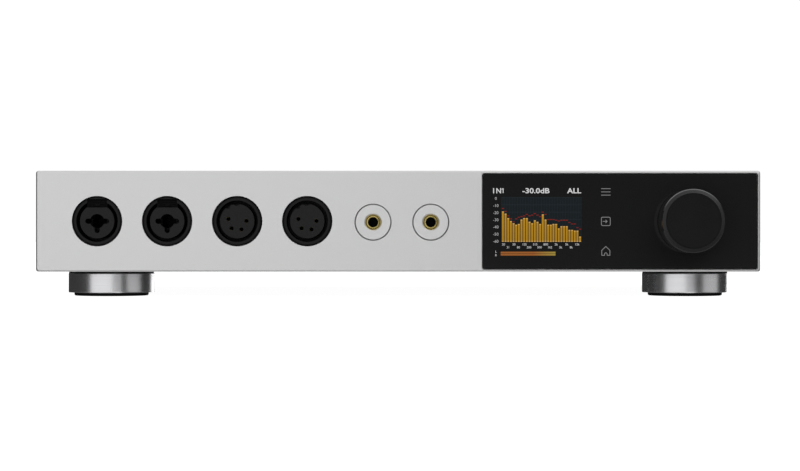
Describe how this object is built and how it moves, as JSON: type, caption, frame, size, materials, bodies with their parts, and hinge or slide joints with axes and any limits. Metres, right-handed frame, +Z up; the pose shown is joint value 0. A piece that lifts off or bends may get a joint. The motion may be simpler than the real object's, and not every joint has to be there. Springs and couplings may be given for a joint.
{
  "type": "desktop dac",
  "caption": "Low, wide aluminium converter and headphone amplifier: front sockets, black glass fascia with a display, a turn-and-press knob, four turned feet and rear sockets.",
  "frame": {"origin": "bottom centre of the bounding box, on the surface that the rubber pads stand on", "axes": "+X to the right as seen from the front, +Y to the rear, +Z up; the front panel faces -Y"},
  "size_m": [0.344, 0.2824, 0.06],
  "materials": {
    "anodised_silver": "fine satin anodised",
    "black_powder_coat": "fine textured powder coat",
    "turned_aluminium": "turned, with fine circular lines",
    "bead_blasted_aluminium": "bead blasted",
    "black_glass": "black backed, polished",
    "display": "lit colour display",
    "green_board": "solder mask",
    "black_board": "solder mask",
    "zinc_steel": "zinc plated",
    "black_screws": "black oxide",
    "pad_rubber": "matt moulded",
    "black_nylon": "moulded, fine grain",
    "black_zinc": "satin black",
    "grey_nylon": "moulded, fine grain",
    "gold_plate": "gold plated",
    "nickel_plate": "nickel plated",
    "ivory_nylon": "moulded",
    "knob_black": "black anodised with a polished bevel",
    "chip_resin": "moulded resin",
    "capacitor_sleeve": "shrink sleeve with a bare aluminium top",
    "winding_tape": "copper and steel under polyester tape",
    "standoff_brass": "machined",
    "wire_sleeve": "wire sleeve",
    "ribbon_grey": "flat cable",
    "rocker_black": "satin moulded",
    "slider_red": "moulded"
  },
  "bodies": {
    "chassis": {"front_panel": "anodised_silver", "side_panel_left": "anodised_silver", "side_panel_right": "anodised_silver", "top_cover": "anodised_silver", "rear_panel": "anodised_silver", "bottom_plate": "black_powder_coat", "front_foot_shells": "turned_aluminium", "rear_foot_shells": "turned_aluminium", "small_jack_bezels": "bead_blasted_aluminium", "fascia_glass": "black_glass", "display_module": "display", "main_board": "green_board", "touch_board": "black_board", "display_board": "black_board", "headphone_board": "black_board", "front_brackets": "zinc_steel", "encoder_nut": "zinc_steel", "encoder_body": "zinc_steel", "foot_nuts": "zinc_steel", "transformer_clamp": "zinc_steel", "case_screws": "black_screws", "bracket_screws": "black_screws", "foot_bolts": "black_screws", "foot_pads": "pad_rubber", "foot_spacers": "pad_rubber", "combo_socket_1_shell": "black_nylon", "combo_socket_2_shell": "black_nylon", "four_pin_socket_1_shell": "black_nylon", "four_pin_socket_2_shell": "black_nylon", "small_jack_bodies": "black_nylon", "mains_module": "black_nylon", "voltage_selector": "black_nylon", "optical_socket": "black_nylon", "line_out_shells": "black_zinc", "combo_socket_1_insert": "grey_nylon", "combo_socket_2_insert": "grey_nylon", "four_pin_socket_1_insert": "grey_nylon", "four_pin_socket_2_insert": "grey_nylon", "socket_contacts": "gold_plate", "small_jack_sleeves": "gold_plate", "line_out_pins": "gold_plate", "rca_barrels": "gold_plate", "inlet_blades": "nickel_plate", "usb_shell": "nickel_plate", "rca_inserts": "ivory_nylon", "usb_tongue": "ivory_nylon", "board_chips": "chip_resin", "filter_capacitors": "capacitor_sleeve", "transformer": "winding_tape", "board_standoffs": "standoff_brass", "mains_leads": "wire_sleeve", "display_ribbon": "ribbon_grey"},
    "encoder_rotor": {"encoder_rotor": "ivory_nylon"},
    "knob": {"knob": "knob_black", "knob_shaft": "zinc_steel", "knob_set_screw": "black_screws"},
    "power_rocker": {"power_rocker": "rocker_black"},
    "fuse_drawer": {"fuse_drawer": "grey_nylon"},
    "optical_shutter": {"optical_shutter": "grey_nylon"},
    "voltage_slider": {"voltage_slider": "slider_red"}
  },
  "joints": [
    {"name": "knob_turn", "type": "hinge", "parent": "chassis", "child": "encoder_rotor", "pos_m": [0.1382, -0.12425, 0.036], "axis": [0, -1, 0], "continuous": true},
    {"name": "knob_press", "type": "slide", "parent": "encoder_rotor", "child": "knob", "axis": [0, 1, 0], "range_m": [0, 0.0005], "stiffness_N_per_m": 4000, "springref_m": -0.0003},
    {"name": "power_switch", "type": "hinge", "parent": "chassis", "child": "power_rocker", "pos_m": [-0.103, 0.12775, 0.036], "axis": [-1, 0, 0], "range_deg": [0, 18]},
    {"name": "fuse_drawer_slide", "type": "slide", "parent": "chassis", "child": "fuse_drawer", "axis": [0, 1, 0], "range_m": [0, 0.018]},
    {"name": "shutter_swing", "type": "hinge", "parent": "chassis", "child": "optical_shutter", "pos_m": [0.014, 0.13075, 0.0401], "axis": [-1, 0, 0], "range_deg": [0, 75], "stiffness_Nm_per_rad": 0.0005, "springref_deg": -17.19},
    {"name": "voltage_slide", "type": "slide", "parent": "chassis", "child": "voltage_slider", "axis": [-1, 0, 0], "range_m": [0, 0.006]}
  ]
}
